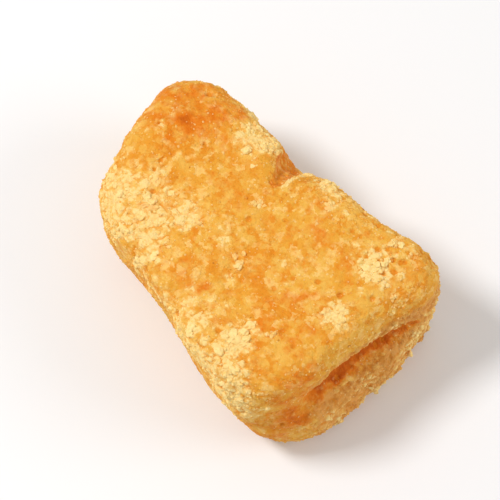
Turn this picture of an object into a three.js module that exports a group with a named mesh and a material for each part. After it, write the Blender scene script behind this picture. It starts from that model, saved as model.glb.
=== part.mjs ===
// A block of jaggery: cane sugar boiled down, set in a slab and cut by hand into lumps.
// Millimetres, +Z up. The block lies on its flat base, with its long way along X.
// The origin is the middle of the base. The wide end, with the torn step, faces +X.

import * as THREE from "three";
import { mergeVertices } from "three/addons/utils/BufferGeometryUtils.js";
import { ImprovedNoise } from "three/addons/math/ImprovedNoise.js";

// Driving dimensions, in millimetres and degrees.
const block = { length: 41.5, width: 26.5, height: 18.5 }; // width is measured halfway along
const mesh = { alongX: 34, alongY: 22, alongZ: 15 }; // facets on each way of the block

// The cut faces. "turn" is where a face looks, counted from +X towards +Y, and "lean" is how far it
// looks up. "inset" is how far inside half the length or width it lies.
const faces = {
  wideEnd: { turn: 1, lean: 2, across: "length", inset: 1.6 },
  backSide: { turn: 100, lean: 2, across: "width", inset: 0.1 },
  slantedEnd: { turn: 197, lean: 3, across: "length", inset: 0.8 },
  frontSide: { turn: 267, lean: -12, across: "width", inset: 1.9 },
};
const top = { tiltAlongX: 1.2, tiltAlongY: -0.8 }; // degrees, rising towards +X and falling towards +Y

// How wide the rounding is where faces meet.
const rounding = { uprightEdges: 6.5, topEdge: 4.6, baseEdge: 2.2 };

// Broad unevenness of the cut faces: wavelength and height of each layer.
const unevenness = [
  { wavelength: 12, height: 0.75 },
  { wavelength: 5.2, height: 0.42 },
];

// The wide end tore while it was cut: its lower part stands out as a lip, under a crease.
const tear = {
  level: 10.3,
  levelRise: -0.1, // for each millimetre towards +Y
  wander: 0.9,
  wanderLength: 8,
  lipReach: 1.8,
  creaseDepth: 1.1,
  creaseHalfHeight: 1.7,
  fadeFront: [-10, -3.5], // the tear dies out towards both corners, between these places along Y
  fadeBack: [7, 12.5],
};

// A short notch broken out of the top edge of the back side.
const notch = { x: -3.4, inset: 0.6, spread: new THREE.Vector3(1.9, 4, 5), depth: 2.6 };

// Dents and swellings, each with its middle, how wide it spreads and how high it stands.
const humps = [
  { at: new THREE.Vector3(7, -4, 18.5), spread: 6.5, height: -0.7 },
  { at: new THREE.Vector3(-8, 4, 18.5), spread: 5, height: -0.45 },
  { at: new THREE.Vector3(18.5, 15, 14), spread: 7, height: 1.7 },
  { at: new THREE.Vector3(-14, -5, 18.3), spread: 4.5, height: 0.5 },
  { at: new THREE.Vector3(-20, -3, 9), spread: 6, height: -0.9 },
  { at: new THREE.Vector3(6, 15, 6), spread: 5.5, height: -0.9 },
  { at: new THREE.Vector3(-13, 10.5, 13), spread: 5, height: 0.7 },
  { at: new THREE.Vector3(-4, -12.5, 16), spread: 8, height: -1 },
  { at: new THREE.Vector3(9, -14.5, 6), spread: 4.5, height: 0.6 },
  { at: new THREE.Vector3(-19, -10, 17), spread: 4, height: -0.8 },
  { at: new THREE.Vector3(19, -12.5, 17), spread: 5, height: -0.8 },
  { at: new THREE.Vector3(-20, 9, 4), spread: 4.5, height: -1 },
];

// Search for the surface: how far out a ray may go, beside the plain box, and how often it is halved.
const search = { outermost: 1.7, halvings: 40 };
const flatTolerance = 0.001;

const noise = new ImprovedNoise();
const middle = new THREE.Vector3(0, 0, block.height / 2);

function smoothStep(value, low, high) {
  const t = THREE.MathUtils.clamp((value - low) / (high - low), 0, 1);
  return t * t * (3 - 2 * t);
}

// The larger of two distances, rounded over where they are nearly equal.
function smoothMax(a, b, blend) {
  const share = Math.max(blend - Math.abs(a - b), 0) / blend;
  return Math.max(a, b) + (share * share * blend) / 4;
}

function outwardOf(face) {
  const turn = THREE.MathUtils.degToRad(face.turn);
  const lean = THREE.MathUtils.degToRad(face.lean);
  return new THREE.Vector3(
    Math.cos(turn) * Math.cos(lean),
    Math.sin(turn) * Math.cos(lean),
    Math.sin(lean),
  );
}

for (const face of Object.values(faces)) {
  face.outward = outwardOf(face);
  face.reach = block[face.across] / 2 - face.inset;
}
const topSlope = {
  x: Math.tan(THREE.MathUtils.degToRad(top.tiltAlongX)),
  y: Math.tan(THREE.MathUtils.degToRad(top.tiltAlongY)),
};

function beyondFace(face, p) {
  const towards = face.outward;
  const fromMiddle = towards.x * p.x + towards.y * p.y + towards.z * (p.z - middle.z);
  return fromMiddle - face.reach;
}

function beyondTop(p) {
  return p.z - block.height - topSlope.x * p.x - topSlope.y * p.y;
}

// The middle of the notch, a little inside the back side's top edge.
function notchMiddle() {
  const { outward, reach } = faces.backSide;
  const edge = (reach - outward.x * notch.x - outward.z * (block.height - middle.z)) / outward.y;
  return new THREE.Vector3(notch.x, edge - notch.inset, block.height);
}
const notchCentre = notchMiddle();

// The unevenness of every cut face: broad waves, humps, dents and the notch.
function swell(p) {
  let height = 0;
  for (const layer of unevenness) {
    const w = layer.wavelength;
    height += layer.height * noise.noise(p.x / w, p.y / w, p.z / w);
  }
  for (const hump of humps) {
    const away = p.distanceTo(hump.at) / hump.spread;
    height += hump.height * Math.exp(-away * away);
  }
  const fromNotch = p.clone().sub(notchCentre).divide(notch.spread);
  return height - notch.depth * Math.exp(-fromNotch.lengthSq());
}

// How far the torn end stands out from its plain face: the lip below, less the crease.
function tornRelief(p) {
  const along = smoothStep(p.y, ...tear.fadeFront) * (1 - smoothStep(p.y, ...tear.fadeBack));
  const wander = tear.wander * noise.noise(p.y / tear.wanderLength, 0.5, 0.5);
  const level = tear.level + tear.levelRise * p.y + wander;
  const above = (p.z - level) / tear.creaseHalfHeight;
  const lip = tear.lipReach * (1 - smoothStep(above, -1, 1));
  const crease = tear.creaseDepth * Math.exp(-above * above);
  return along * (lip - crease);
}

// The distance to the block's surface: negative inside it. Only the base is left exactly flat.
function beyondBlock(p) {
  let sides = beyondFace(faces.wideEnd, p) - tornRelief(p);
  for (const face of [faces.backSide, faces.slantedEnd, faces.frontSide]) {
    sides = smoothMax(sides, beyondFace(face, p), rounding.uprightEdges);
  }
  const cut = smoothMax(sides, beyondTop(p), rounding.topEdge) - swell(p);
  return smoothMax(cut, -p.z, rounding.baseEdge);
}

// The point where the ray from the middle through "target" leaves the block.
function surfaceTowards(target) {
  const ray = target.clone().sub(middle);
  let inside = 0;
  let outside = search.outermost;
  for (let i = 0; i < search.halvings; i += 1) {
    const half = (inside + outside) / 2;
    const probe = middle.clone().addScaledVector(ray, half);
    if (beyondBlock(probe) < 0) {
      inside = half;
    } else {
      outside = half;
    }
  }
  const point = middle.clone().addScaledVector(ray, inside);
  if (Math.abs(point.z) < flatTolerance) {
    point.z = 0;
  }
  return point;
}

// A plain box whose corners are all pushed out or in along rays, to the cut block's surface.
function makeBlockGeometry() {
  const box = new THREE.BoxGeometry(
    block.length,
    block.width,
    block.height,
    mesh.alongX,
    mesh.alongY,
    mesh.alongZ,
  );
  box.translate(middle.x, middle.y, middle.z);
  box.deleteAttribute("normal");
  box.deleteAttribute("uv");
  const geometry = mergeVertices(box);
  const position = geometry.attributes.position;
  for (let i = 0; i < position.count; i += 1) {
    const target = new THREE.Vector3().fromBufferAttribute(position, i);
    const point = surfaceTowards(target);
    position.setXYZ(i, point.x, point.y, point.z);
  }
  geometry.computeBoundingBox();
  const centre = geometry.boundingBox.getCenter(new THREE.Vector3());
  geometry.translate(-centre.x, -centre.y, 0);
  geometry.computeVertexNormals();
  return geometry;
}

function makeJaggeryBlock() {
  const amber = new THREE.MeshStandardMaterial({ color: 0xe2a045, roughness: 0.6, metalness: 0 });
  const jaggeryBlock = new THREE.Mesh(makeBlockGeometry(), amber);
  jaggeryBlock.name = "jaggery_block";
  return jaggeryBlock;
}

const group = new THREE.Group();
group.add(makeJaggeryBlock());

export default group;
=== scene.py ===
# A hand-cut block of golden jaggery on a pale table: fine sugar grain all over, frosted and crumbly
# along its worn edges, darker and a little moist where it tore, partly as painted shade. Shapes are worked
# in millimetres.
import math

import bmesh
import bpy
import numpy as np
from mathutils import Matrix, Vector, noise


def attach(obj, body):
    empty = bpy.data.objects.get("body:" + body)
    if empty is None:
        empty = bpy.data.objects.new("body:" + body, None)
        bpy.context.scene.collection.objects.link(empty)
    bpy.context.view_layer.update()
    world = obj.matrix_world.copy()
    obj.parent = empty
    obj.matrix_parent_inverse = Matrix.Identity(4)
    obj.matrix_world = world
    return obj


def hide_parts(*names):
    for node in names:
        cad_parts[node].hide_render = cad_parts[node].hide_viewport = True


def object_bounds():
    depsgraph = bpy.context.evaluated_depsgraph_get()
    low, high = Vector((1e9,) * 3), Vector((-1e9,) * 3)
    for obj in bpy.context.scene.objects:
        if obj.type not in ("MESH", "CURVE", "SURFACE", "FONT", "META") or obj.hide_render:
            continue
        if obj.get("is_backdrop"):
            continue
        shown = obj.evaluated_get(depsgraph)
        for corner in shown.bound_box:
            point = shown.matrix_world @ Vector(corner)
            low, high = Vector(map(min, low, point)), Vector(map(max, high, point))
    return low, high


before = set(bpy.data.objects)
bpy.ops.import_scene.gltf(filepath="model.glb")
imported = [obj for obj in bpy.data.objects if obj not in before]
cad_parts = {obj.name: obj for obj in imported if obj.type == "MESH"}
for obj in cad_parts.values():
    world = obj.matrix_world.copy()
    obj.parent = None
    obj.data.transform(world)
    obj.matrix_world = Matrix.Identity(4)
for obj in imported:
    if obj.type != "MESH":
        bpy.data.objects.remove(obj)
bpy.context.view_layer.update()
mm = 0.001
blockNode = "jaggery_block"
print("stage: the packed block is loaded")


def pointsOf(mesh):
    points = np.empty(len(mesh.vertices) * 3)
    mesh.vertices.foreach_get("co", points)
    return points.reshape(-1, 3)


def putPoints(mesh, points):
    mesh.vertices.foreach_set("co", np.ascontiguousarray(points).ravel())
    mesh.update()


def normalsOf(mesh):
    normals = np.empty(len(mesh.vertices) * 3)
    mesh.vertex_normals.foreach_get("vector", normals)
    return normals.reshape(-1, 3)


def edgesOf(mesh):
    edges = np.empty(len(mesh.edges) * 2, dtype=np.int64)
    mesh.edges.foreach_get("vertices", edges)
    return edges.reshape(-1, 2)


def putAttribute(mesh, name, values):
    layer = mesh.attributes.new(name, "FLOAT", "POINT")
    layer.data.foreach_set("value", np.clip(values, 0, 1).astype(np.float32))


def settle(values, edges, rounds, share=0.5):  # each point moves towards the mean of its neighbours
    count = len(values)
    a, b = edges[:, 0], edges[:, 1]
    number = np.bincount(a, minlength=count) + np.bincount(b, minlength=count)
    flat = values.reshape(count, -1).copy()
    for _ in range(rounds):
        for column in range(flat.shape[1]):
            line = flat[:, column]
            total = np.bincount(a, line[b], count) + np.bincount(b, line[a], count)
            flat[:, column] = line + share * (total / number - line)
    return flat.reshape(values.shape)


def smoothStep(low, high, values):
    t = np.clip((values - low) / (high - low), 0, 1)
    return t * t * (3 - 2 * t)


def unit(vectors):
    shortest = 1e-9  # so that nothing is divided by nought
    return vectors / np.maximum(np.linalg.norm(vectors, axis=1, keepdims=True), shortest)


# Fields over the block give one number for each point. Another start gives another pattern alike.
def wave(points, size, start, stretch=(1, 1, 1)):  # smooth noise with bumps about as wide as size
    places = points / (size * np.array(stretch)) + start
    return np.array([noise.noise(p) for p in places.tolist()])


grainMix = {"x": 12.9898, "y": 78.233, "z": 37.719, "stretch": 43758.5453}  # draws each grain its lot


def cells(points, size, start):  # packed grains: how far in from the gap, and a lot for each grain
    places = (points / size + start).tolist()
    inside = np.empty(len(places))
    lot = np.empty(len(places))
    for i, place in enumerate(places):
        distances, centres = noise.voronoi(place)
        inside[i] = distances[1] - distances[0]
        x, y, z = centres[0]
        lot[i] = math.sin(x * grainMix["x"] + y * grainMix["y"] + z * grainMix["z"]) * grainMix["stretch"]
    return inside, lot - np.floor(lot)


def spots(points, places):  # soft round patches: the middle, radius and amount of each
    total = np.zeros(len(points))
    for x, y, z, radius, amount in places:
        away = ((points - np.array((x, y, z))) ** 2).sum(axis=1) / radius ** 2
        total += amount * np.exp(-away)
    return total


def waves(points, layer):  # smooth noise with the height, size and start of a layer
    return layer["height"] * wave(points, layer["size"], layer["start"], layer.get("stretch", (1, 1, 1)))


def packed(points, layer):  # grains of unequal height, which slope down into the gaps between them
    inside, lot = cells(points, layer["size"], layer["start"])
    tall = layer["lowest"] + (1 - layer["lowest"]) * lot
    return layer["height"] * (smoothStep(0.0, layer["gap"], inside) * tall - layer["level"])


blockSkin = {
    "voxel": 0.228,         # mm between points of the fine skin
    "onBase": 0.05,         # mm below which a point belongs to the flat base
    "easeRounds": 16,       # takes the flat facets off the plain block
    "normalRounds": 6,      # evens out which way the carving goes
    "edgeRounds": 60,       # how wide a fold counts as an edge
    "fold": (0.06, 0.34),   # mm of fold at which an edge starts and is full
    "steep": (0.2, 0.6), "level": (0.0, 0.5),  # upward part of the normal
    "baseBand": 0.9,        # mm over which the grain fades out towards the flat base
    "reliefRounds": 14, "reliefSpan": 0.4,  # how wide and how deep the kept relief is
    "seed": 11,
}
frosting = {                # dry pale sugar on the skin
    "patches": [            # x, y, z, radius, amount
        (-11.5, -9.5, 17.5, 5.0, 0.62), (-7.0, -8.0, 18.5, 4.5, 0.42), (-5.5, -5.5, 18.5, 2.5, 0.35),
        (2.0, -12.5, 17.0, 4.0, 0.5), (11.5, -13.8, 15.5, 4.8, 0.9), (10.6, -9.9, 18.5, 1.9, 1.0),
        (15.3, 0.3, 18.5, 1.7, 0.9), (13.6, 6.8, 18.5, 2.2, 0.8), (13.0, 11.0, 18.5, 3.4, 0.42),
        (2.4, 9.8, 17.5, 3.1, 0.95), (-9.0, 6.0, 18.0, 3.2, 0.35), (3.7, -4.5, 18.0, 2.4, 0.35),
        (-1.2, 2.1, 18.5, 0.9, 0.6), (-11.5, 8.8, 17.0, 3.2, 0.6), (-7.0, 8.6, 17.5, 2.4, 0.6),
        (7.5, 11.5, 17.0, 2.4, 0.5), (16.0, -15.0, 13.0, 3.6, 0.5), (6.0, -13.5, 15.5, 3.4, 0.6),
        (-3.0, -12.5, 15.5, 3.4, 0.5), (-10.5, -12.0, 14.5, 3.8, 0.7),
    ],
    "facing": (-0.5, 0.2),  # upward part of the normal from which a patch takes hold
    "onEdges": 0.5, "onSides": 0.12, "onTornEnd": -0.15, "onRim": 0.7, "lostToMoist": 0.9,
    "drift": {"height": 0.5, "size": 4.2, "start": 7.7},
    "speckle": {"height": 0.62, "size": 1.35, "start": 2.2},
}
moistureAndShade = {                # denser, darker, smoother sugar; in the crease and its band the darkness is partly painted shade
    "patches": [
        # the first patch darkens the narrow tip, partly as moist sugar and partly as painted shade
        (-16.5, 3.2, 17.5, 5.2, 0.7), (11.5, -4.0, 18.5, 3.8, 0.5), (20.3, -8.0, 11.0, 4.6, 0.8),
        (18.5, -7.5, 17.0, 3.2, 0.35), (2.2, -9.9, 18.0, 2.2, 0.45), (7.0, 6.5, 18.5, 4.5, 0.25),
        (20.0, 9.0, 12.5, 1.8, 0.7), (-4.2, 0.8, 18.5, 3.2, 0.35),
    ],
    "drift": {"height": 0.42, "size": 2.6, "start": 5.5},
    # the crease and the band along it darken partly as moist sugar and partly as painted shade
    "inCrease": 2.0, "inBand": 0.75, "inNotch": 0.5, "notchFull": (0.02, 0.3), "lostToTan": 0.3,
    "ragged": [             # breaks up the band along the crease
        {"height": 0.6, "size": 1.6, "start": 21.1},
        {"height": 0.4, "size": 0.7, "start": 22.2},
    ],
}
tear = {                    # the torn wide end, with its crease and lip
    "along": (15.5, 18.0), "facing": (0.1, 0.6),
    "level": 11.2, "rise": -0.1, "wander": {"height": 1.0, "size": 3.2, "start": 4.1},
    "fadeFront": (-10.0, -4.0), "fadeBack": (7.0, 12.5), "lipTop": (-1.6, -0.4),
    "creaseDepth": 1.0, "creaseWidth": 1.4, "creaseEnds": 0.4, "creaseFront": (-8.5, -1.5),
    "bandWidth": 2.3, "bandBack": (4.0, 8.5), "tanTop": (13.5, 16.5), "tanClear": 1.8,
    "lipGrain": {"height": 0.28, "size": 1.15, "start": 9.2, "gap": 0.5, "lowest": 0.0, "level": 0.3},
}
notch = {                   # a short cut in the back edge, from its mouth to its inner tip
    "mouth": (-5.0, 11.6), "tip": (-2.2, 5.0), "mouthWidth": 2.3, "tipWidth": 0.9,
    "mouthDepth": 0.75, "tipDepth": 0.5, "below": (11.0, 15.5), "tipFade": (0.85, 1.2),
    "wander": {"height": 0.4, "size": 1.9, "start": 6.6},
    "rim": 0.35, "rimAt": 1.35, "rimWidth": 0.6,  # rimAt counts in widths of the cut
    "rough": {"height": 0.28, "size": 0.9, "start": 23.3},
}
relief = {                  # heights and sizes in mm
    "swell": {"height": 0.3, "size": 5.5, "start": 1.3},
    "ripple": {"height": 0.2, "size": 2.3, "start": 3.9},
    "chips": {"height": 0.9, "size": 2.4, "start": 0.37, "gap": 0.35, "share": 0.45},
    "crumble": {"height": 0.72, "size": 1.2, "start": 8.8},
    "crumbleAll": 0.16, "crumbleEdges": 0.84, "crumbleLip": 0.1,
    "crust": {"height": 0.42, "size": 1.15, "start": 1.91, "gap": 0.45, "lowest": 0.25, "level": 0.4},
    "crustAll": 0.3, "crustFrost": 0.75, "crustTan": 0.5, "crustLostToMoist": 0.35,
    "grain": {"height": 0.14, "size": 0.6, "start": 5.13, "gap": 0.5, "lowest": 0.3, "level": 0.4},
    "grainTan": 0.6,
    "warp": 0.5, "warpSize": 1.5, "warpStarts": (11.1, 12.2, 13.3),
    "uneven": {"height": 1.0, "size": 2.6, "start": 15.3},
    "unevenMiddle": 0.65, "unevenRange": (0.35, 1.25), "unevenNotch": 0.5,
    "streaks": {"height": 0.12, "size": 0.75, "start": 6.1, "stretch": (14, 14, 1)},
}
pits = {                    # small gas holes, radius and depth in mm
    "count": 70, "radius": (0.22, 0.42), "depth": (0.25, 0.55), "lowest": 2, "sharpness": 1.5,
    "cluster": (14.0, 9.3, 2.2, 9), "clusterFacing": 0.6,  # x, y, radius and count
}


def fineSkin(cadNode):
    mesh = cadNode.data.copy()
    mesh.materials.clear()
    mesh.transform(Matrix.Scale(1 / mm, 4))
    draft = bpy.data.objects.new("draftBlock", mesh)
    bpy.context.scene.collection.objects.link(draft)
    remesh = draft.modifiers.new("fine", "REMESH")
    remesh.mode = "VOXEL"
    remesh.voxel_size = blockSkin["voxel"]
    shown = draft.evaluated_get(bpy.context.evaluated_depsgraph_get())
    fine = bpy.data.meshes.new_from_object(shown)
    bpy.data.objects.remove(draft)
    points = pointsOf(fine)
    eased = settle(points, edgesOf(fine), blockSkin["easeRounds"])
    eased[:, 2] = np.where(points[:, 2] < blockSkin["onBase"], 0.0, eased[:, 2])
    putPoints(fine, eased)
    return fine


def tornMarks(points, normals):  # the lip, the crease, the dark band along them (moist sugar and painted shade) and the tan rest
    x, y, z = points.T
    onEnd = smoothStep(*tear["along"], x) * smoothStep(*tear["facing"], normals[:, 0])
    onTear = onEnd * smoothStep(*tear["fadeFront"], y)
    above = z - (tear["level"] + tear["rise"] * y + waves(points, tear["wander"]))
    lip = onTear * (1 - smoothStep(*tear["lipTop"], above))
    runs = smoothStep(*tear["creaseFront"], y) * (1 - smoothStep(*tear["fadeBack"], y))
    width = tear["creaseWidth"] * (tear["creaseEnds"] + (1 - tear["creaseEnds"]) * runs)
    crease = onEnd * runs * np.exp(-(above / width) ** 2)
    band = onTear * (1 - smoothStep(*tear["bandBack"], y)) * np.exp(-(above / tear["bandWidth"]) ** 4)
    dark = np.maximum(band, np.minimum(tear["tanClear"] * crease, 1))
    tan = onTear * (1 - smoothStep(*tear["tanTop"], z)) * (1 - dark)
    return {"lip": lip, "crease": crease, "band": band, "tan": tan}


def notchMarks(points):  # the cut, its depth in mm, and the rim on its wide side
    mouth, tip = np.array(notch["mouth"]), np.array(notch["tip"])
    length = np.linalg.norm(tip - mouth)
    way = (tip - mouth) / length
    offset = points[:, :2] - mouth
    along = offset @ way / length
    aside = offset @ np.array((-way[1], way[0])) + waves(points, notch["wander"])
    inwards = np.clip(along, 0, 1)
    width = notch["mouthWidth"] + (notch["tipWidth"] - notch["mouthWidth"]) * inwards
    depth = notch["mouthDepth"] + (notch["tipDepth"] - notch["mouthDepth"]) * inwards
    shown = smoothStep(*notch["below"], points[:, 2]) * (1 - smoothStep(*notch["tipFade"], along))
    cut = shown * np.clip(1 - np.abs(aside) / width, 0, 1)
    rim = shown * np.exp(-((aside - width * notch["rimAt"]) / notch["rimWidth"]) ** 2)
    return {"cut": cut, "cutDepth": cut * depth, "rim": rim}


def marksOf(points, normals, edges):  # how strongly each mark of cutting and wear shows at every point
    broad = settle(points, edges, blockSkin["edgeRounds"])
    fold = ((points - broad) * normals).sum(axis=1)
    upwards = normals[:, 2]
    marks = {
        "edge": smoothStep(*blockSkin["fold"], fold),
        "side": 1 - smoothStep(*blockSkin["steep"], np.abs(upwards)),
        "top": smoothStep(*blockSkin["level"], upwards),
    }
    return marks | tornMarks(points, normals) | notchMarks(points)


def frostMoistureAndShade(points, normals, marks):
    frost = spots(points, frosting["patches"]) * smoothStep(*frosting["facing"], normals[:, 2])
    frost += frosting["onEdges"] * marks["edge"]
    frost += waves(points, frosting["drift"])
    frost += waves(points, frosting["speckle"])
    frost += frosting["onSides"] * (1 - marks["top"]) + frosting["onTornEnd"] * marks["tan"]
    frost += frosting["onRim"] * marks["rim"] - marks["cut"]
    moistAndShade = spots(points, moistureAndShade["patches"]) + waves(points, moistureAndShade["drift"])
    ragged = 1 + sum(waves(points, layer) for layer in moistureAndShade["ragged"])
    # painted shade: the crease and its band are darkened as if they were moister
    inCrease = np.maximum(moistureAndShade["inCrease"] * marks["crease"], moistureAndShade["inBand"] * marks["band"])
    inNotch = moistureAndShade["inNotch"] * smoothStep(*moistureAndShade["notchFull"], marks["cut"])
    moistAndShade = np.maximum(moistAndShade, inCrease * ragged)
    moistAndShade = np.maximum(moistAndShade, inNotch) - moistureAndShade["lostToTan"] * marks["tan"]
    frost = np.clip(frost - frosting["lostToMoist"] * moistAndShade, 0, 1)
    return frost, np.clip(moistAndShade, 0, 1)


def pitHollows(points, normals, rng):
    hollow = np.zeros(len(points))
    free = np.flatnonzero(points[:, 2] > pits["lowest"])
    x, y, radius, clustered = pits["cluster"]
    away = (points[free, 0] - x) ** 2 + (points[free, 1] - y) ** 2
    corner = free[(away < radius ** 2) & (normals[free, 2] > pits["clusterFacing"])]
    centres = np.concatenate([rng.choice(free, pits["count"]), rng.choice(corner, clustered)])
    for i in centres:
        width = rng.uniform(*pits["radius"])
        depth = rng.uniform(*pits["depth"])
        distance = ((points - points[i]) ** 2).sum(axis=1) / width ** 2
        hollow = np.maximum(hollow, depth * np.exp(-distance ** pits["sharpness"]))
    return hollow


def edgeChips(points):
    chips = relief["chips"]
    inside, lot = cells(points, chips["size"], chips["start"])
    chosen = smoothStep(1 - chips["share"], 1, lot)
    return chips["height"] * chosen * smoothStep(0.0, chips["gap"], inside)


def sugarRelief(points, marks, frost, moistAndShade):  # how far the skin stands out from the plain block
    edge, lip, tan, cut = (marks[name] for name in ("edge", "lip", "tan", "cut"))
    sway = [wave(points, relief["warpSize"], start) for start in relief["warpStarts"]]
    warped = points + relief["warp"] * np.array(sway).T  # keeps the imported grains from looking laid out
    uneven = np.clip(relief["unevenMiddle"] + waves(points, relief["uneven"]), *relief["unevenRange"])
    uneven += relief["unevenNotch"] * cut
    height = waves(points, relief["swell"]) + waves(points, relief["ripple"])
    height -= edgeChips(warped) * edge
    crumbly = relief["crumbleAll"] + relief["crumbleEdges"] * edge + relief["crumbleLip"] * lip
    height += waves(points, relief["crumble"]) * crumbly
    crusted = relief["crustAll"] * uneven + relief["crustFrost"] * frost + relief["crustTan"] * tan
    height += packed(warped, relief["crust"]) * crusted * (1 - relief["crustLostToMoist"] * moistAndShade)
    height += packed(warped, relief["grain"]) * (uneven + relief["grainTan"] * tan)
    height += waves(points, relief["streaks"]) * marks["side"] * (1 - lip)
    height += packed(warped, tear["lipGrain"]) * lip - tear["creaseDepth"] * marks["crease"]
    height += waves(points, notch["rough"]) * (cut > 0)
    return height + notch["rim"] * marks["rim"] - marks["cutDepth"]


def carveBlock(mesh):
    rng = np.random.default_rng(blockSkin["seed"])
    edges = edgesOf(mesh)
    points = pointsOf(mesh)
    normals = unit(settle(normalsOf(mesh), edges, blockSkin["normalRounds"]))
    marks = marksOf(points, normals, edges)
    frost, moistAndShade = frostMoistureAndShade(points, normals, marks)
    height = sugarRelief(points, marks, frost, moistAndShade) - pitHollows(points, normals, rng)
    height *= smoothStep(0.0, blockSkin["baseBand"], points[:, 2])
    carved = points + normals * height[:, None]
    carved[:, 2] = np.maximum(carved[:, 2], 0)
    putPoints(mesh, carved)
    around = settle(height, edges, blockSkin["reliefRounds"])
    raised = 0.5 + (height - around) / blockSkin["reliefSpan"]
    fields = {"frost": frost, "moistAndShade": moistAndShade, "torn": marks["tan"], "relief": raised}
    for name, values in fields.items():
        putAttribute(mesh, name, values)
    return fields, marks["edge"]


def makeBlock():
    mesh = fineSkin(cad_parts[blockNode])
    fields, onEdge = carveBlock(mesh)
    mesh.name = "jaggeryBlock"
    mesh.transform(Matrix.Scale(mm, 4))
    mesh.shade_smooth()
    block = bpy.data.objects.new("jaggeryBlock", mesh)
    bpy.context.scene.collection.objects.link(block)
    return block, fields, onEdge


block, skinFields, edgeOnSkin = makeBlock()
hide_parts(blockNode)
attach(block, "root")
print("stage: the block is cut,", len(block.data.polygons), "faces")


sugarGrains = {             # small grains half sunk in the skin; size is the radius in mm
    "count": 9000, "size": (0.11, 0.34), "sunk": 0.35, "lowest": 0.7,
    "everywhere": 0.3, "onFrost": 1.0, "onEdges": 0.35, "lostToMoist": 0.5,
    "sizeOnBare": 0.55,     # how large they grow where there is no frost
    "knocks": (0.72, 1.15), "squash": (0.65, 1.15), "roundness": 1, "seed": 23,
}
paleCrumbs = {
    "placed": [             # x, y and size of the clumps on top, each of a few lumps
        (10.5, -9.6, 1.2), (11.3, -10.6, 0.8), (15.6, 0.4, 1.05), (13.6, 7.4, 0.95), (14.3, 8.9, 0.75),
        (12.6, 11.4, 0.85), (-1.2, 2.1, 0.55), (3.7, -4.6, 0.55), (-9.0, -8.3, 0.8), (1.6, 10.9, 0.7),
    ],
    "lumps": 5, "lumpShare": (0.4, 0.72), "scatter": 0.6, "steepest": 0.3,
    "strewn": 90, "size": (0.25, 0.6), "lowest": 1.4, "sunk": 0.2,
    "bumps": 0.5, "bumpSize": 0.9, "knobs": 0.3, "knobSize": 0.35, "startTo": 50,
    "squash": (0.75, 1.25), "flatness": 0.65, "roundness": 4, "seed": 5,
}
fullTurn = 6.283  # radians


def roundedStone(subdivisions):  # a ball as points and faces, to be knocked into grains and crumbs
    ball = bmesh.new()
    bmesh.ops.create_icosphere(ball, subdivisions=subdivisions, radius=1)
    points = np.array([v.co[:] for v in ball.verts])
    faces = np.array([[v.index for v in f.verts] for f in ball.faces])
    ball.free()
    return points, faces


def turned(points, normal, rng):  # stands a piece on the skin, turned at random about the normal
    spin = Matrix.Rotation(rng.uniform(0, fullTurn), 3, "Z")
    turn = Vector(normal).to_track_quat("Z", "Y").to_matrix() @ spin
    return points @ np.array(turn).T


def joinedPiece(name, parts, faces, seats, rng):  # each part takes on the look of the skin at its seat
    count = len(parts[0])
    points = np.concatenate(parts) * mm
    allFaces = np.concatenate([faces + i * count for i in range(len(parts))])
    mesh = bpy.data.meshes.new(name)
    mesh.from_pydata(points.tolist(), [], allFaces.tolist())
    for field, values in skinFields.items():
        putAttribute(mesh, field, np.repeat(values[seats], count))
    putAttribute(mesh, "shade", np.repeat(rng.uniform(0, 1, len(parts)), count))
    piece = bpy.data.objects.new(name, mesh)
    bpy.context.scene.collection.objects.link(piece)
    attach(piece, "root")
    return piece


def makeSugarGrains(skinPoints, skinNormals):
    rng = np.random.default_rng(sugarGrains["seed"])
    ball, faces = roundedStone(sugarGrains["roundness"])
    low, high = sugarGrains["size"]
    bare = sugarGrains["sizeOnBare"]
    frost = skinFields["frost"]
    weight = sugarGrains["everywhere"] + sugarGrains["onFrost"] * frost
    weight += sugarGrains["onEdges"] * edgeOnSkin
    weight *= 1 - sugarGrains["lostToMoist"] * skinFields["moistAndShade"]
    weight *= skinPoints[:, 2] > sugarGrains["lowest"]
    seats = rng.choice(len(skinPoints), sugarGrains["count"], replace=False, p=weight / weight.sum())
    parts = []
    for i in seats:
        share = rng.uniform(0, 1) ** 2  # most grains are small
        size = low + (high - low) * share * (bare + (1 - bare) * frost[i])
        knocked = ball * rng.uniform(*sugarGrains["knocks"], (len(ball), 1))
        squashed = knocked * rng.uniform(*sugarGrains["squash"], 3)
        stone = turned(squashed * size, skinNormals[i], rng)
        parts.append(stone + skinPoints[i] - skinNormals[i] * size * sugarGrains["sunk"])
    return joinedPiece("sugarGrains", parts, faces, seats, rng)


def topPointNear(skinPoints, skinNormals, x, y):
    away = (skinPoints[:, 0] - x) ** 2 + (skinPoints[:, 1] - y) ** 2
    return int(np.argmin(np.where(skinNormals[:, 2] < paleCrumbs["steepest"], np.inf, away)))


def crumbSeats(skinPoints, skinNormals, rng):  # where strewn crumbs and clumps sit, and their sizes
    weight = skinFields["frost"] ** 2 * (skinPoints[:, 2] > paleCrumbs["lowest"])
    seats = list(rng.choice(len(skinPoints), paleCrumbs["strewn"], replace=False, p=weight / weight.sum()))
    sizes = list(rng.uniform(*paleCrumbs["size"], len(seats)))
    for x, y, size in paleCrumbs["placed"]:
        for _ in range(paleCrumbs["lumps"]):
            aside = rng.normal(0, paleCrumbs["scatter"] * size, 2)
            seats.append(topPointNear(skinPoints, skinNormals, x + aside[0], y + aside[1]))
            sizes.append(size * rng.uniform(*paleCrumbs["lumpShare"]))
    return seats, sizes


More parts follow.
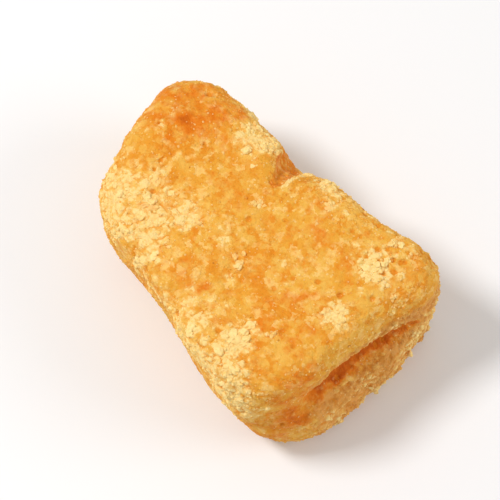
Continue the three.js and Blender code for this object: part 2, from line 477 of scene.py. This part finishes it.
def makePaleCrumbs(skinPoints, skinNormals):
    rng = np.random.default_rng(paleCrumbs["seed"])
    ball, faces = roundedStone(paleCrumbs["roundness"])
    seats, sizes = crumbSeats(skinPoints, skinNormals, rng)
    parts = []
    for i, size in zip(seats, sizes):
        start = rng.uniform(0, paleCrumbs["startTo"])
        bumps = paleCrumbs["bumps"] * wave(ball, paleCrumbs["bumpSize"], start)
        bumps += paleCrumbs["knobs"] * wave(ball, paleCrumbs["knobSize"] / size, start)
        lump = ball * (1 + bumps)[:, None] * rng.uniform(*paleCrumbs["squash"], 3)
        lump[:, 2] *= paleCrumbs["flatness"]
        seated = skinPoints[i] - skinNormals[i] * size * paleCrumbs["sunk"]
        parts.append(turned(lump * size, skinNormals[i], rng) + seated)
    return joinedPiece("paleCrumbs", parts, faces, np.array(seats), rng)


seatRounds = 4  # evens out which way the grains and crumbs stand
skinPoints = pointsOf(block.data) / mm
skinNormals = unit(settle(normalsOf(block.data), edgesOf(block.data), seatRounds))
grains = makeSugarGrains(skinPoints, skinNormals)
crumbs = makePaleCrumbs(skinPoints, skinNormals)
print("stage: grains and crumbs are on,", len(grains.data.polygons), len(crumbs.data.polygons), "faces")


finish = {                  # linear colours
    "amber": (0.80, 0.37, 0.042), "orange": (0.77, 0.275, 0.020), "golden": (0.85, 0.485, 0.092),
    # wet orange and rust-brown colour moist sugar and also paint the shade in the crease
    "wetAndShadedOrange": (0.76, 0.185, 0.008), "wetAndShadedRust": (0.53, 0.105, 0.006), "tan": (0.74, 0.34, 0.085),
    "husk": (0.60, 0.21, 0.030), "cream": (0.93, 0.605, 0.195), "palest": (0.95, 0.71, 0.30),
    "speck": (0.45, 0.15, 0.02),
    "shine": 0.05,          # how much light the surface mirrors
    "glow": 0.08, "glowReach": 0.7, "glowColour": (1.0, 0.55, 0.2),  # light inside the sugar: share and mm
    "swayScale": 1.6, "sway": 1.3,  # how ragged the outlines of packed grains are, in grain sizes
}


class Finish:  # a material with its tree, and short ways to add to it
    def __init__(self, name):
        self.material = bpy.data.materials.new(name)
        self.material.use_nodes = True
        self.tree = self.material.node_tree
        self.shader = next(n for n in self.tree.nodes if n.type == "BSDF_PRINCIPLED")
        coordinates = self.tree.nodes.new("ShaderNodeTexCoord")
        scale = self.add("ShaderNodeVectorMath", operation="SCALE")
        scale.inputs["Scale"].default_value = 1 / mm
        self.join(coordinates.outputs["Object"], scale.inputs[0])
        self.place = scale.outputs[0]
        self.shader.inputs["Specular IOR Level"].default_value = finish["shine"]

    def add(self, kind, **settings):
        made = self.tree.nodes.new(kind)
        for name, value in settings.items():
            setattr(made, name, value)
        return made

    def join(self, source, target):
        self.tree.links.new(source, target)

    def put(self, value, socket):  # a link, or a plain number
        if isinstance(value, bpy.types.NodeSocket):
            self.join(value, socket)
        else:
            socket.default_value = value

    def cloud(self, size, detail, start):  # noise between 0 and 1, with features size mm wide
        made = self.add("ShaderNodeTexNoise", noise_dimensions="4D")
        self.join(self.place, made.inputs["Vector"])
        made.inputs["Scale"].default_value = 1 / size
        made.inputs["Detail"].default_value = detail
        made.inputs["W"].default_value = start
        return made.outputs["Fac"]

    def crystals(self, size, output="Distance"):  # packed grains with ragged outlines
        sway = self.add("ShaderNodeTexNoise")
        self.join(self.place, sway.inputs["Vector"])
        sway.inputs["Scale"].default_value = finish["swayScale"] / size
        shifted = self.add("ShaderNodeVectorMath", operation="MULTIPLY_ADD")
        self.join(sway.outputs["Color"], shifted.inputs[0])
        shifted.inputs[1].default_value = (finish["sway"] * size,) * 3
        self.join(self.place, shifted.inputs[2])
        made = self.add("ShaderNodeTexVoronoi")
        self.join(shifted.outputs[0], made.inputs["Vector"])
        made.inputs["Scale"].default_value = 1 / size
        return made.outputs[output]

    def lots(self, size):  # a number between 0 and 1 for each packed grain
        made = self.add("ShaderNodeSeparateColor")
        self.join(self.crystals(size, "Color"), made.inputs[0])
        return made.outputs[0]

    def painted(self, name):  # a value kept on the mesh
        return self.add("ShaderNodeAttribute", attribute_name=name).outputs["Fac"]

    def sum(self, a, b, times=1.0):  # a + b * times
        made = self.add("ShaderNodeMath", operation="MULTIPLY_ADD")
        self.put(b, made.inputs[0])
        self.put(times, made.inputs[1])
        self.put(a, made.inputs[2])
        return made.outputs[0]

    def around(self, pattern):  # moves a pattern between 0 and 1 to lie around nought
        return self.sum(-0.5, pattern)

    def swayed(self, value, tint):  # moves a value up and down with the tint's own cloud
        return self.sum(value, self.around(self.cloud(*tint["cloud"])), tint["sway"])

    def spread(self, value, low, high, toLow, toHigh):
        made = self.add("ShaderNodeMapRange", interpolation_type="SMOOTHSTEP")
        self.put(value, made.inputs["Value"])
        made.inputs["From Min"].default_value = low
        made.inputs["From Max"].default_value = high
        made.inputs["To Min"].default_value = toLow
        made.inputs["To Max"].default_value = toHigh
        return made.outputs["Result"]

    def blend(self, share, a, b):
        made = self.add("ShaderNodeMix", data_type="RGBA")
        self.put(share, made.inputs[0])
        self.put(a if isinstance(a, bpy.types.NodeSocket) else (*a, 1), made.inputs[6])
        self.put(b if isinstance(b, bpy.types.NodeSocket) else (*b, 1), made.inputs[7])
        return made.outputs[2]

    def tinted(self, colour, value, tint, other):  # other comes in over the tint's range of the value
        return self.blend(self.spread(value, *tint["range"], 0, tint["share"]), colour, other)

    def clouded(self, colour, tint, other):  # other comes in where the tint's own cloud is thick
        return self.tinted(colour, self.cloud(*tint["cloud"]), tint, other)

    def bumps(self, height, depth, strength):
        made = self.add("ShaderNodeBump")
        made.inputs["Strength"].default_value = strength
        made.inputs["Distance"].default_value = depth * mm
        self.join(height, made.inputs["Height"])
        self.join(made.outputs["Normal"], self.shader.inputs["Normal"])

    def glow(self):
        self.shader.inputs["Subsurface Weight"].default_value = finish["glow"]
        self.shader.inputs["Subsurface Radius"].default_value = finish["glowColour"]
        self.shader.inputs["Subsurface Scale"].default_value = finish["glowReach"] * mm


tints = {                   # a cloud has a size in mm, a detail and a start; sway is how much it counts
    "drift": {"cloud": (5.0, 2, 1.0), "range": (0.42, 0.66), "share": 1.0},
    "sunny": {"cloud": (1.5, 3, 2.0), "range": (0.48, 0.68), "share": 0.7},
    "orange": {"cloud": (1.1, 2, 8.0), "range": (0.52, 0.64), "share": 0.9},
    "golden": {"grain": 0.8, "range": (0.45, 1.0), "share": 0.7},
    "fleck": {"grain": 1.1, "cloud": (0.8, 3, 17.0), "sway": 1.6, "range": (0.7, 1.05), "share": 0.7},
    # hollow and gap are painted shade: orange where the relief is low
    "hollow": {"range": (0.46, 0.15), "share": 0.6},
    # moist sugar and the painted shade in the crease go to wet orange, the darkest to rust-brown
    "moistAndShade": {"cloud": (1.1, 3, 16.0), "sway": 1.3, "range": (0.1, 0.8), "share": 0.92},
    "wettestAndShaded": {"range": (0.6, 1.15), "share": 0.95},
    "husk": {"cloud": (0.9, 3, 19.0), "range": (0.45, 0.65), "share": 1.0},
    "torn": {"cloud": (0.8, 2, 14.0), "sway": 0.9, "range": (0.25, 0.75), "share": 0.85},
    "powder": {"cloud": (0.7, 3, 3.0), "sway": 1.5, "range": (0.05, 0.85), "share": 0.88, "lots": 0.22},
    "dry": {"range": (0.1, 0.9), "share": 0.65},
    "tips": {"cloud": (0.45, 2, 12.0), "sway": 1.6, "range": (0.58, 0.98), "share": 0.8},
    # painted shade in the hollows, laid again over the powder
    "gap": {"range": (0.48, 0.12), "share": 0.55},
    "speck": {"cloud": (0.8, 1, 9.0), "range": (0.76, 0.8), "share": 0.7},
    "paler": {"range": (0.35, 1)},
}


def plainSugar(sugar, lot, height):  # amber to orange, with golden and cream grains, and painted shade in the hollows
    colour = sugar.clouded(finish["amber"], tints["drift"], finish["orange"])
    colour = sugar.clouded(colour, tints["sunny"], finish["golden"])
    colour = sugar.clouded(colour, tints["orange"], finish["orange"])
    colour = sugar.tinted(colour, lot, tints["golden"], finish["golden"])
    fleck = sugar.swayed(sugar.lots(tints["fleck"]["grain"]), tints["fleck"])
    colour = sugar.tinted(colour, fleck, tints["fleck"], finish["cream"])
    # painted shade: orange where the relief is low
    return sugar.tinted(colour, height, tints["hollow"], finish["orange"])


def sugarColour(sugar):  # the colour of cut jaggery with painted shade in hollows and crease, and how dry and powdery it is
    frost, moistAndShade, torn, height = (sugar.painted(name) for name in ("frost", "moistAndShade", "torn", "relief"))
    lot = sugar.lots(tints["golden"]["grain"])
    colour = plainSugar(sugar, lot, height)
    # moist sugar and the painted crease shade: wet orange, then rust-brown
    denseAndShaded = sugar.swayed(moistAndShade, tints["moistAndShade"])
    colour = sugar.tinted(colour, denseAndShaded, tints["moistAndShade"], finish["wetAndShadedOrange"])
    colour = sugar.tinted(colour, denseAndShaded, tints["wettestAndShaded"], finish["wetAndShadedRust"])
    tan = sugar.clouded(finish["tan"], tints["husk"], finish["husk"])
    colour = sugar.tinted(colour, sugar.swayed(torn, tints["torn"]), tints["torn"], tan)
    powder = sugar.swayed(sugar.sum(frost, sugar.around(height)), tints["powder"])
    powder = sugar.sum(powder, sugar.around(lot), tints["powder"]["lots"])
    powder = sugar.spread(powder, *tints["powder"]["range"], 0, tints["powder"]["share"])
    dry = sugar.tinted(finish["cream"], lot, tints["dry"], finish["golden"])
    colour = sugar.blend(powder, colour, dry)
    colour = sugar.tinted(colour, sugar.swayed(powder, tints["tips"]), tints["tips"], finish["palest"])
    # painted shade: orange again where the relief is low, over the powder
    colour = sugar.tinted(colour, height, tints["gap"], finish["orange"])
    return colour, powder, moistAndShade


crustFinish = {
    "roughness": (0.5, 0.78), "powderFull": 0.9,  # from bare to powdery sugar
    "moistSmooths": 0.08,
    "bumps": (0.22, 3, 4.0), "grains": [(0.32, 0.8), (0.6, 1.1)],  # each size in mm, with its share
    "depth": 0.09, "strength": 1.0,
}
clingingFinish = {          # paler: how much of the palest colour a piece gets, from the least to the most
    "sugarGrain": {"paler": (0.0, 0.6), "roughness": 0.55},
    "paleCrumb": {"paler": (0.45, 0.9), "roughness": 0.75},
    "bumps": (0.16, 2, 5.0), "depth": 0.05, "strength": 0.7,
}


def jaggeryCrust():
    crust = Finish("jaggeryCrust")
    colour, powder, moistAndShade = sugarColour(crust)
    colour = crust.clouded(colour, tints["speck"], finish["speck"])
    crust.join(colour, crust.shader.inputs["Base Color"])
    rough = crust.spread(powder, 0, crustFinish["powderFull"], *crustFinish["roughness"])
    rough = crust.sum(rough, moistAndShade, -crustFinish["moistSmooths"])
    crust.join(rough, crust.shader.inputs["Roughness"])
    bumpy = crust.cloud(*crustFinish["bumps"])
    for size, share in crustFinish["grains"]:
        bumpy = crust.sum(bumpy, crust.crystals(size), -share)
    crust.bumps(bumpy, crustFinish["depth"], crustFinish["strength"])
    crust.glow()
    return crust.material


def clingingSugar(name):  # the colour of the skin beneath, with each piece paler by its own lot
    kind = clingingFinish[name]
    sugar = Finish(name)
    colour = sugarColour(sugar)[0]
    paler = sugar.spread(sugar.painted("shade"), *tints["paler"]["range"], *kind["paler"])
    sugar.join(sugar.blend(paler, colour, finish["palest"]), sugar.shader.inputs["Base Color"])
    sugar.shader.inputs["Roughness"].default_value = kind["roughness"]
    fine = sugar.cloud(*clingingFinish["bumps"])
    sugar.bumps(fine, clingingFinish["depth"], clingingFinish["strength"])
    sugar.glow()
    return sugar.material


block.data.materials.append(jaggeryCrust())
grains.data.materials.append(clingingSugar("sugarGrain"))
crumbs.data.materials.append(clingingSugar("paleCrumb"))
print("stage: finishes are on")


studio = {
    "tableColour": (0.86, 0.86, 0.87), "tableRoughness": 0.7, "tableSize": 3.0,
    "skyColour": (1.0, 0.975, 0.94), "sky": 0.53,
    "keyFrom": (-0.38, -0.40, 0.84), "keyDistance": 0.45, "keySize": 0.12, "keyPower": 1.23,
    "fillFrom": (0.62, 0.6, 0.5), "fillDistance": 0.6, "fillSize": 0.4, "fillPower": 1.05,
}
viewpoint = {"turn": 52.6, "height": 67.0, "lens": 180.0, "frameWidth": 0.0605, "nearest": 0.01}


def makeTable():
    mesh = bpy.data.meshes.new("table")
    half = studio["tableSize"] / 2
    corners = [(-half, -half, 0), (half, -half, 0), (half, half, 0), (-half, half, 0)]
    mesh.from_pydata(corners, [], [(0, 1, 2, 3)])
    table = bpy.data.objects.new("table", mesh)
    bpy.context.scene.collection.objects.link(table)
    paint = Finish("tablePaint")
    paint.shader.inputs["Base Color"].default_value = (*studio["tableColour"], 1)
    paint.shader.inputs["Roughness"].default_value = studio["tableRoughness"]
    mesh.materials.append(paint.material)
    table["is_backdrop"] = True


def makeLamp(name, towards, distance, size, power):
    lamp = bpy.data.lights.new(name, "AREA")
    lamp.shape = "DISK"
    lamp.size = size
    lamp.energy = power
    place = Vector(towards).normalized() * distance
    holder = bpy.data.objects.new(name, lamp)
    holder.location = place
    holder.rotation_mode = "QUATERNION"
    holder.rotation_quaternion = place.to_track_quat("Z", "Y")
    bpy.context.scene.collection.objects.link(holder)


def makeSky():
    world = bpy.data.worlds.new("softSky")
    world.use_nodes = True
    background = world.node_tree.nodes["Background"]
    background.inputs["Color"].default_value = (*studio["skyColour"], 1)
    background.inputs["Strength"].default_value = studio["sky"]
    bpy.context.scene.world = world


def makeCamera():
    low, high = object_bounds()
    turn, height = math.radians(viewpoint["turn"]), math.radians(viewpoint["height"])
    back = Vector((math.sin(turn) * math.cos(height), -math.cos(turn) * math.cos(height), math.sin(height)))
    data = bpy.data.cameras.new("camera")
    data.lens = viewpoint["lens"]
    data.clip_start = viewpoint["nearest"]
    distance = viewpoint["frameWidth"] * data.lens / data.sensor_width
    camera = bpy.data.objects.new("camera", data)
    camera.location = (low + high) / 2 + back * distance
    camera.rotation_mode = "QUATERNION"
    camera.rotation_quaternion = back.to_track_quat("Z", "Y")
    bpy.context.scene.collection.objects.link(camera)
    bpy.context.scene.camera = camera


makeTable()
makeSky()
makeLamp("keyLamp", studio["keyFrom"], studio["keyDistance"], studio["keySize"], studio["keyPower"])
makeLamp("fillLamp", studio["fillFrom"], studio["fillDistance"], studio["fillSize"], studio["fillPower"])
makeCamera()
bpy.context.scene.view_settings.view_transform = "Standard"
print("stage: table, light and camera are set")
